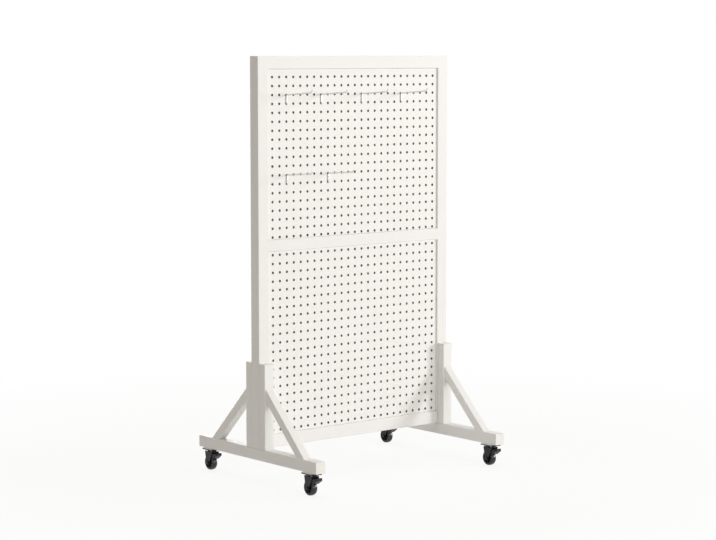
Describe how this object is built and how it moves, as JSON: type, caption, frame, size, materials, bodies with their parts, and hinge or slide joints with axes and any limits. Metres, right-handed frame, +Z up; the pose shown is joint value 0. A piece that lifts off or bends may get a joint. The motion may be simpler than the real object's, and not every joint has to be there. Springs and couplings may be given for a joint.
{
  "type": "rolling pegboard display",
  "caption": "Free-standing pegboard panel with a closed back in a white tube frame on braced T-shaped legs with braked swivel casters, with wire hooks for hanging goods.",
  "frame": {"origin": "on the floor under the middle of the display", "axes": "+X along the board, -Y towards the front with the hooks, +Z up"},
  "size_m": [0.852, 0.66, 1.4475],
  "materials": {
    "white_coat": "satin",
    "panel_coat": "satin",
    "white_plastic": "matte",
    "zinc_steel": "satin",
    "black_coat": "satin",
    "black_plastic": "matte",
    "black_rubber": "matte",
    "bright_wire": "polished"
  },
  "bodies": {
    "root": {"left_upright": "white_coat", "right_upright": "white_coat", "top_rail": "white_coat", "mid_rail": "white_coat", "bottom_rail": "white_coat", "left_foot_beam": "white_coat", "right_foot_beam": "white_coat", "left_front_post": "white_coat", "left_front_brace": "white_coat", "left_rear_post": "white_coat", "left_rear_brace": "white_coat", "right_front_post": "white_coat", "right_front_brace": "white_coat", "right_rear_post": "white_coat", "right_rear_brace": "white_coat", "caster_pads": "white_coat", "front_upper_panel": "panel_coat", "front_lower_panel": "panel_coat", "rear_upper_panel": "panel_coat", "rear_lower_panel": "panel_coat", "upper_ledgers": "panel_coat", "lower_ledgers": "panel_coat", "beam_end_caps": "white_plastic", "post_caps": "white_plastic", "leg_bolts": "zinc_steel", "leg_nuts": "zinc_steel", "caster_screws": "zinc_steel", "caster_plates": "black_coat", "swivel_races": "black_coat", "kingpins": "black_coat"},
    "front_left_swivel": {"front_left_fork": "black_coat", "front_left_axle": "black_coat"},
    "front_left_wheel": {"front_left_tread": "black_rubber", "front_left_hub": "black_plastic"},
    "front_left_brake": {"front_left_brake_pedal": "black_plastic"},
    "front_right_swivel": {"front_right_fork": "black_coat", "front_right_axle": "black_coat"},
    "front_right_wheel": {"front_right_tread": "black_rubber", "front_right_hub": "black_plastic"},
    "front_right_brake": {"front_right_brake_pedal": "black_plastic"},
    "rear_left_swivel": {"rear_left_fork": "black_coat", "rear_left_axle": "black_coat"},
    "rear_left_wheel": {"rear_left_tread": "black_rubber", "rear_left_hub": "black_plastic"},
    "rear_left_brake": {"rear_left_brake_pedal": "black_plastic"},
    "rear_right_swivel": {"rear_right_fork": "black_coat", "rear_right_axle": "black_coat"},
    "rear_right_wheel": {"rear_right_tread": "black_rubber", "rear_right_hub": "black_plastic"},
    "rear_right_brake": {"rear_right_brake_pedal": "black_plastic"},
    "upper_hook_1": {"upper_hook_1": "bright_wire"},
    "upper_hook_2": {"upper_hook_2": "bright_wire"},
    "upper_hook_3": {"upper_hook_3": "bright_wire"},
    "upper_hook_4": {"upper_hook_4": "bright_wire"},
    "lower_hook_1": {"lower_hook_1": "bright_wire"},
    "lower_hook_2": {"lower_hook_2": "bright_wire"}
  },
  "joints": [
    {"name": "front_left_swivel_turn", "type": "hinge", "parent": "root", "child": "front_left_swivel", "pos_m": [-0.405, -0.282, 0.068], "axis": [0, 0, 1], "continuous": true},
    {"name": "front_left_wheel_spin", "type": "hinge", "parent": "front_left_swivel", "child": "front_left_wheel", "pos_m": [-0.405, -0.276, 0.027], "axis": [1, 0, 0], "continuous": true},
    {"name": "front_left_brake_press", "type": "hinge", "parent": "front_left_swivel", "child": "front_left_brake", "pos_m": [-0.405, -0.291, 0.057], "axis": [1, 0, 0], "range_deg": [0, 10]},
    {"name": "front_right_swivel_turn", "type": "hinge", "parent": "root", "child": "front_right_swivel", "pos_m": [0.405, -0.282, 0.068], "axis": [0, 0, 1], "continuous": true},
    {"name": "front_right_wheel_spin", "type": "hinge", "parent": "front_right_swivel", "child": "front_right_wheel", "pos_m": [0.405, -0.276, 0.027], "axis": [1, 0, 0], "continuous": true},
    {"name": "front_right_brake_press", "type": "hinge", "parent": "front_right_swivel", "child": "front_right_brake", "pos_m": [0.405, -0.291, 0.057], "axis": [1, 0, 0], "range_deg": [0, 10]},
    {"name": "rear_left_swivel_turn", "type": "hinge", "parent": "root", "child": "rear_left_swivel", "pos_m": [-0.405, 0.282, 0.068], "axis": [0, 0, 1], "continuous": true},
    {"name": "rear_left_wheel_spin", "type": "hinge", "parent": "rear_left_swivel", "child": "rear_left_wheel", "pos_m": [-0.405, 0.288, 0.027], "axis": [1, 0, 0], "continuous": true},
    {"name": "rear_left_brake_press", "type": "hinge", "parent": "rear_left_swivel", "child": "rear_left_brake", "pos_m": [-0.405, 0.273, 0.057], "axis": [1, 0, 0], "range_deg": [0, 10]},
    {"name": "rear_right_swivel_turn", "type": "hinge", "parent": "root", "child": "rear_right_swivel", "pos_m": [0.405, 0.282, 0.068], "axis": [0, 0, 1], "continuous": true},
    {"name": "rear_right_wheel_spin", "type": "hinge", "parent": "rear_right_swivel", "child": "rear_right_wheel", "pos_m": [0.405, 0.288, 0.027], "axis": [1, 0, 0], "continuous": true},
    {"name": "rear_right_brake_press", "type": "hinge", "parent": "rear_right_swivel", "child": "rear_right_brake", "pos_m": [0.405, 0.273, 0.057], "axis": [1, 0, 0], "range_deg": [0, 10]},
    {"name": "upper_hook_1_lift", "type": "hinge", "parent": "root", "child": "upper_hook_1", "pos_m": [-0.3, -0.0154, 1.317], "axis": [-1, 0, 0], "range_deg": [0, 20]},
    {"name": "upper_hook_2_lift", "type": "hinge", "parent": "root", "child": "upper_hook_2", "pos_m": [-0.15, -0.0154, 1.317], "axis": [-1, 0, 0], "range_deg": [0, 20]},
    {"name": "upper_hook_3_lift", "type": "hinge", "parent": "root", "child": "upper_hook_3", "pos_m": [0.03, -0.0154, 1.317], "axis": [-1, 0, 0], "range_deg": [0, 20]},
    {"name": "upper_hook_4_lift", "type": "hinge", "parent": "root", "child": "upper_hook_4", "pos_m": [0.21, -0.0154, 1.317], "axis": [-1, 0, 0], "range_deg": [0, 20]},
    {"name": "lower_hook_1_lift", "type": "hinge", "parent": "root", "child": "lower_hook_1", "pos_m": [-0.3, -0.0154, 1.047], "axis": [-1, 0, 0], "range_deg": [0, 20]},
    {"name": "lower_hook_2_lift", "type": "hinge", "parent": "root", "child": "lower_hook_2", "pos_m": [-0.12, -0.0154, 1.047], "axis": [-1, 0, 0], "range_deg": [0, 20]}
  ]
}
